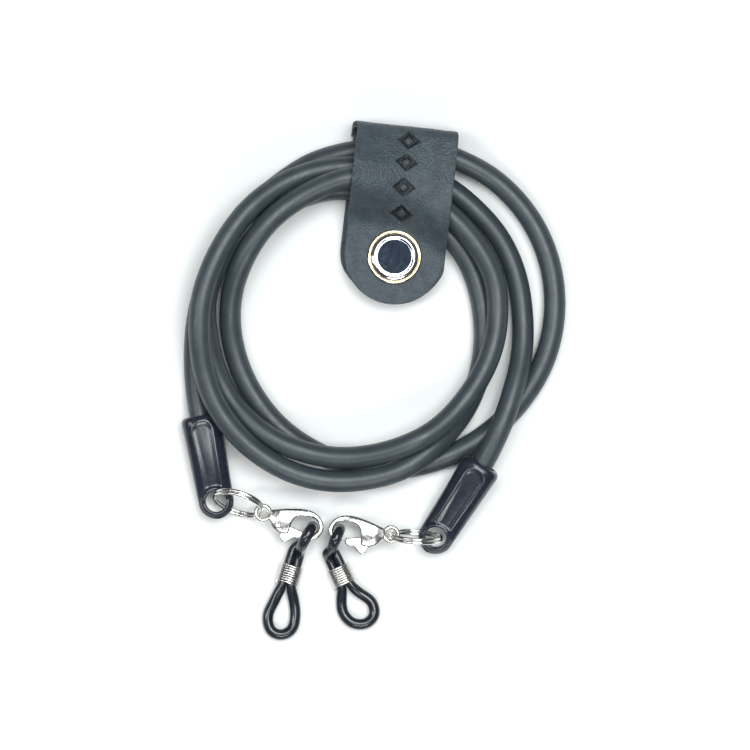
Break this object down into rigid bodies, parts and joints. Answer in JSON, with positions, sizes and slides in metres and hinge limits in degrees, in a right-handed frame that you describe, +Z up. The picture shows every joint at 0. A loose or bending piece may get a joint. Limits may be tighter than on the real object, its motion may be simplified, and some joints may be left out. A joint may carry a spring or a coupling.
{
  "type": "eyeglass retainer strap",
  "caption": "Coiled round rubber eyewear strap with moulded ends, split rings, lobster clasps, elastic glasses loops and a snapped leather keeper.",
  "frame": {"origin": "middle of the underside of the box around every piece except the strap's cord, on the table", "axes": "+Z up off the table, +Y from the glasses loops towards the leather keeper, +X to the right as seen from above"},
  "size_m": [0.0706, 0.0956, 0.0145],
  "materials": {
    "strap_rubber": "satin moulded rubber cord",
    "cap_moulding": "glossy dark moulded end",
    "ring_wire": "polished nickel-plated wire",
    "clasp_plating": "polished plated casting",
    "pin_steel": "turned pin",
    "loop_silicone": "glossy black elastic",
    "collar_wire": "close-wound plated wire",
    "keeper_leather": "fine-grained dark leather",
    "snap_nickel": "domed nickel"
  },
  "bodies": {
    "strap": {"strap_cord": "strap_rubber", "left_end_cap": "cap_moulding", "right_end_cap": "cap_moulding", "keeper_back": "keeper_leather", "snap_stud": "snap_nickel", "snap_back_rivet": "snap_nickel"},
    "flap": {"keeper_flap": "keeper_leather", "snap_cap": "snap_nickel", "snap_socket": "snap_nickel"},
    "left_ring": {"left_split_ring": "ring_wire"},
    "right_ring": {"right_split_ring": "ring_wire"},
    "left_clasp": {"left_clasp_body": "clasp_plating", "left_clasp_pin": "pin_steel"},
    "right_clasp": {"right_clasp_body": "clasp_plating", "right_clasp_pin": "pin_steel"},
    "left_lever": {"left_clasp_lever": "clasp_plating"},
    "right_lever": {"right_clasp_lever": "clasp_plating"},
    "left_loop": {"left_glasses_loop": "loop_silicone"},
    "right_loop": {"right_glasses_loop": "loop_silicone"},
    "left_collar": {"left_loop_collar": "collar_wire"},
    "right_collar": {"right_loop_collar": "collar_wire"}
  },
  "joints": [
    {"name": "keeper_flap_fold", "type": "hinge", "parent": "strap", "child": "flap", "pos_m": [0.01286, 0.04696, 0.00635], "axis": [-0.9938, 0.1115, 0], "range_deg": [0, 130]},
    {"name": "left_ring_swing", "type": "hinge", "parent": "strap", "child": "left_ring", "pos_m": [-0.0229, -0.0208, 0.00475], "axis": [0, 0, 1], "range_deg": [-20, 6]},
    {"name": "right_ring_swing", "type": "hinge", "parent": "strap", "child": "right_ring", "pos_m": [0.01877, -0.02873, 0.00505], "axis": [0, 0, 1], "range_deg": [-6, 12]},
    {"name": "left_clasp_swing", "type": "hinge", "parent": "left_ring", "child": "left_clasp", "pos_m": [-0.014, -0.02405, 0.004], "axis": [0, 0, 1], "range_deg": [-35, 6]},
    {"name": "right_clasp_swing", "type": "hinge", "parent": "right_ring", "child": "right_clasp", "pos_m": [0.00955, -0.028, 0.004], "axis": [0, 0, 1], "range_deg": [-6, 35]},
    {"name": "left_lever_pivot", "type": "hinge", "parent": "left_clasp", "child": "left_lever", "pos_m": [-0.01126, -0.02628, 0.004], "axis": [0, 0, 1], "range_deg": [0, 20], "stiffness_Nm_per_rad": 0.004, "springref_deg": -20.05},
    {"name": "right_lever_pivot", "type": "hinge", "parent": "right_clasp", "child": "right_lever", "pos_m": [0.00619, -0.0291, 0.004], "axis": [0, 0, -1], "range_deg": [0, 20], "stiffness_Nm_per_rad": 0.004, "springref_deg": -20.05},
    {"name": "left_loop_swing", "type": "hinge", "parent": "left_clasp", "child": "left_loop", "pos_m": [-0.00488, -0.02653, 0.004], "axis": [0, 0, 1], "range_deg": [-12, 10]},
    {"name": "right_loop_swing", "type": "hinge", "parent": "right_clasp", "child": "right_loop", "pos_m": [0.00015, -0.02705, 0.004], "axis": [0, 0, 1], "range_deg": [-10, 30]},
    {"name": "left_collar_slide", "type": "slide", "parent": "left_loop", "child": "left_collar", "axis": [0.276, 0.9611, 0], "range_m": [0, 0.0018]},
    {"name": "right_collar_slide", "type": "slide", "parent": "right_loop", "child": "right_collar", "axis": [-0.4259, 0.9048, 0], "range_m": [0, 0.0018]}
  ]
}
